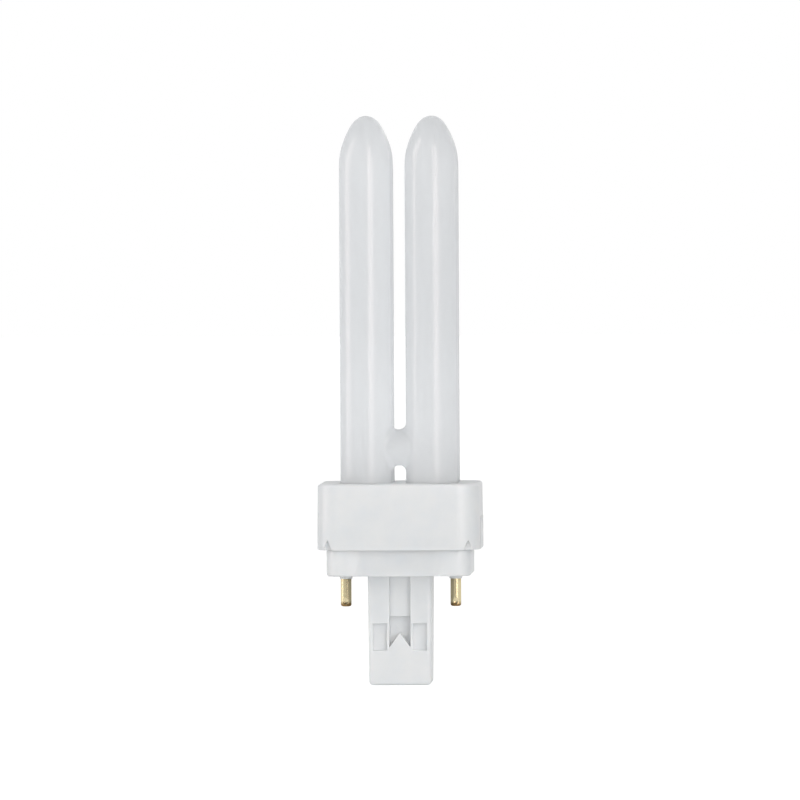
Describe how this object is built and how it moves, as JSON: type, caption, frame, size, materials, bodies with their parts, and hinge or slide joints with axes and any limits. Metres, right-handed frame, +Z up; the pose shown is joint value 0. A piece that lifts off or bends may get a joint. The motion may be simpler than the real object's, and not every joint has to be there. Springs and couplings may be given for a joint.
{
  "type": "u shaped fluorescent bulb",
  "caption": "Plug-in compact fluorescent bulb: coated glass U tubes joined by a short bridge, in a white plastic cap with a latched key post and brass contact pins.",
  "frame": {"origin": "centre of the key post's end face, the lowest point of the lamp", "axes": "+Z up along the glass legs, +X from the left contact pin to the right one, -Y the front, where the glass bridge is"},
  "size_m": [0.0342, 0.034, 0.119],
  "materials": {
    "coated_glass": "glossy glass over a white phosphor coating that can't be seen through",
    "cap_plastic": "moulded, satin",
    "pin_brass": "drawn, slightly tarnished",
    "cement": "cast, chalky",
    "starter_glass": "clear",
    "capacitor_resin": "moulded, glossy",
    "lead_wire": "drawn nickel-plated wire"
  },
  "bodies": {
    "root": {"discharge_tube": "coated_glass", "collar": "cap_plastic", "plug_body": "cap_plastic", "contact_pin_left": "pin_brass", "contact_pin_right": "pin_brass", "basing_cement": "cement", "glow_starter": "starter_glass", "capacitor": "capacitor_resin", "lead_wire_pin_left": "lead_wire", "lead_wire_pin_right": "lead_wire", "lead_wire_starter_left": "lead_wire", "lead_wire_starter_right": "lead_wire", "starter_lead_left": "lead_wire", "starter_lead_right": "lead_wire", "capacitor_lead_left": "lead_wire", "capacitor_lead_right": "lead_wire"}
  },
  "joints": []
}
